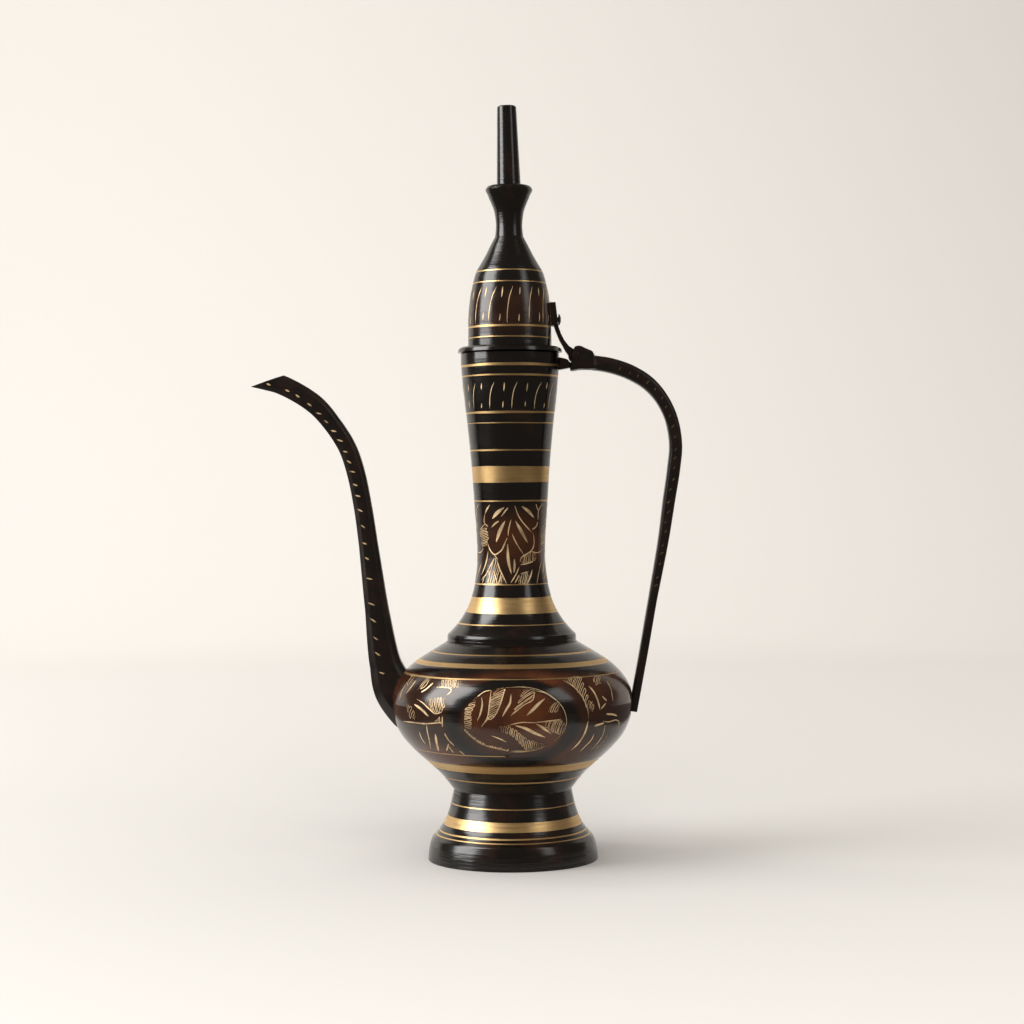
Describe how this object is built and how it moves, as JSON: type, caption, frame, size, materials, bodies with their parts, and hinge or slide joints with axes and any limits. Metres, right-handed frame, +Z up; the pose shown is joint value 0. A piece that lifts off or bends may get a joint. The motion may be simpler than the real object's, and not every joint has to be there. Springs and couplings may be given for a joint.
{
  "type": "aftaba ewer",
  "caption": "Long-necked turned brass ewer with black lacquer and engraved bands, hinged domed lid, slim curved spout and strap handle.",
  "frame": {"origin": "middle of the whole object's bounding box, on the plane that the foot stands on", "axes": "+Z up along the vessel's axis, +X towards the handle and -X towards the spout, +Y away from the side that is seen with the spout on the left"},
  "size_m": [0.2032, 0.1138, 0.355],
  "materials": {
    "lacquered_brass": "glossy near-black lacquer over turned brass, cut through to the metal in rings, bands and engraved foliage",
    "lacquered_casting": "semi-gloss black lacquer over cast brass, with short engraved nicks",
    "bare_brass": "satin bare brass"
  },
  "bodies": {
    "vessel": {"foot": "lacquered_brass", "lower_bowl": "lacquered_brass", "upper_bowl": "lacquered_brass", "shoulder_collar": "lacquered_brass", "neck_tube": "lacquered_brass", "rim_ring": "lacquered_brass", "spout_tube": "lacquered_casting", "handle_bar": "lacquered_casting", "neck_bracket": "lacquered_casting", "hinge_pin": "bare_brass"},
    "lid": {"hinge_leaf": "lacquered_casting", "leaf_rivet": "bare_brass", "lid_dome": "lacquered_brass", "lid_skirt": "bare_brass", "finial_cup": "lacquered_brass", "finial_spike": "lacquered_brass"}
  },
  "joints": [
    {"name": "lid_hinge", "type": "hinge", "parent": "vessel", "child": "lid", "pos_m": [0.05151, 0, 0.2369], "axis": [0, 1, 0], "range_deg": [0, 105]}
  ]
}
